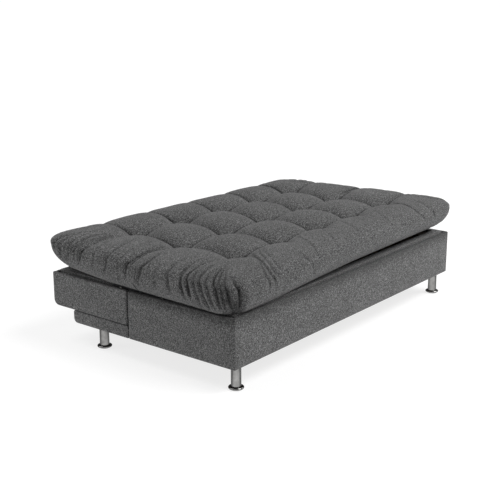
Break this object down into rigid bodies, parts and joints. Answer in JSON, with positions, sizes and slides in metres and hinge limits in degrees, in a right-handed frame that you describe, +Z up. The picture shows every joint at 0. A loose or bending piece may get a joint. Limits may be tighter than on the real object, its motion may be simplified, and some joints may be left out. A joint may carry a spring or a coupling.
{
  "type": "futon sofa bed",
  "caption": "Tufted click-clack sofa bed folded flat, with an upholstered storage box, a folding back block and short chrome legs.",
  "frame": {"origin": "on the floor, under the middle of the bed's outline", "axes": "+X along the length to the sofa's left-hand end as a person sits on it, +Y from the front to the rear, +Z up"},
  "size_m": [1.842, 1.12, 0.495],
  "materials": {
    "mattress_cloth": "heathered dark grey woven cloth, tufted",
    "upholstery_cloth": "heathered dark grey woven cloth, stretched over board",
    "frame_wood": "planed softwood",
    "slat_wood": "birch ply slats",
    "leg_chrome": "polished",
    "hinge_steel": "satin",
    "bolt_steel": "satin",
    "glide_plastic": "matte"
  },
  "bodies": {
    "base": {"front_ledger": "frame_wood", "front_left_foot_flange": "leg_chrome", "front_left_glide": "glide_plastic", "front_left_leg_block": "frame_wood", "front_left_leg_tube": "leg_chrome", "front_panel": "upholstery_cloth", "front_right_foot_flange": "leg_chrome", "front_right_glide": "glide_plastic", "front_right_leg_block": "frame_wood", "front_right_leg_tube": "leg_chrome", "left_base_bracket": "hinge_steel", "left_end_panel": "upholstery_cloth", "left_low_rail": "upholstery_cloth", "left_pivot_bolt": "bolt_steel", "left_ratchet_pawl": "hinge_steel", "rear_board": "upholstery_cloth", "rear_cross_rail": "upholstery_cloth", "rear_left_foot_flange": "leg_chrome", "rear_left_glide": "glide_plastic", "rear_left_leg_block": "frame_wood", "rear_left_leg_tube": "leg_chrome", "rear_right_foot_flange": "leg_chrome", "rear_right_glide": "glide_plastic", "rear_right_leg_block": "frame_wood", "rear_right_leg_tube": "leg_chrome", "right_base_bracket": "hinge_steel", "right_end_panel": "upholstery_cloth", "right_low_rail": "upholstery_cloth", "right_pivot_bolt": "bolt_steel", "right_ratchet_pawl": "hinge_steel", "storage_floor": "frame_wood"},
    "seat": {"left_seat_arm_bolt": "bolt_steel", "left_seat_hinge_arm": "hinge_steel", "right_seat_arm_bolt": "bolt_steel", "right_seat_hinge_arm": "hinge_steel", "seat_front_rail": "frame_wood", "seat_left_side_rail": "frame_wood", "seat_mattress": "mattress_cloth", "seat_rear_rail": "frame_wood", "seat_right_side_rail": "frame_wood", "seat_slats": "slat_wood"},
    "back": {"back_front_rail": "frame_wood", "back_left_side_rail": "frame_wood", "back_mattress": "mattress_cloth", "back_rear_rail": "frame_wood", "back_right_side_rail": "frame_wood", "back_slats": "slat_wood", "block_bottom_panel": "upholstery_cloth", "block_front_panel": "upholstery_cloth", "block_rear_panel": "upholstery_cloth", "left_back_arm_bolt": "bolt_steel", "left_back_hinge_arm": "hinge_steel", "left_block_end_panel": "upholstery_cloth", "left_ratchet_quadrant": "hinge_steel", "mattress_fold": "mattress_cloth", "right_back_arm_bolt": "bolt_steel", "right_back_hinge_arm": "hinge_steel", "right_block_end_panel": "upholstery_cloth", "right_ratchet_quadrant": "hinge_steel"}
  },
  "joints": [
    {"name": "seat_lift", "type": "hinge", "parent": "base", "child": "seat", "pos_m": [0, 0, 0.316], "axis": [-1, 0, 0], "range_deg": [0, 22]},
    {"name": "back_fold", "type": "hinge", "parent": "base", "child": "back", "pos_m": [0, 0, 0.316], "axis": [1, 0, 0], "range_deg": [0, 68], "deforming": ["mattress_fold"]}
  ]
}
